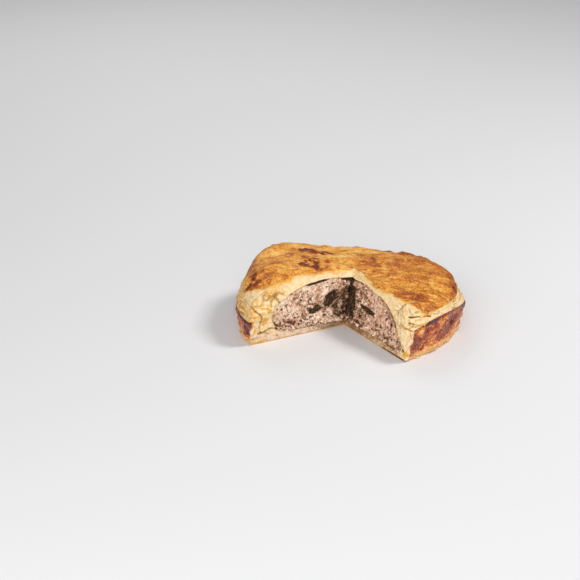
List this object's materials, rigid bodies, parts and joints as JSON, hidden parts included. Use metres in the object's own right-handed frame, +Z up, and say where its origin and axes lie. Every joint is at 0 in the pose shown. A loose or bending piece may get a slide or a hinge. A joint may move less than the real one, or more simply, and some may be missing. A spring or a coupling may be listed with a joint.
{
  "type": "wild boar pie",
  "caption": "Round puff pastry pie with a wedge cut out, showing minced boar filling with mushroom under a browned, puffed lid.",
  "frame": {"origin": "the pie's middle, on the table", "axes": "+Z up, out of the lid. The missing wedge opens towards -Y and a little -X."},
  "size_m": [0.1828, 0.1661, 0.0507],
  "materials": {
    "lid": "egg-washed, golden brown puff pastry",
    "base_crust": "deep brown, glossy baked pastry wall, pale inside",
    "filling": "moist, coarse cooked mince",
    "mushroom": "moist, dark cooked mushroom"
  },
  "bodies": {
    "root": {"lid": "lid", "base_crust": "base_crust", "filling": "filling", "mushroom_1": "mushroom", "mushroom_2": "mushroom", "mushroom_3": "mushroom", "mushroom_4": "mushroom"}
  },
  "joints": []
}
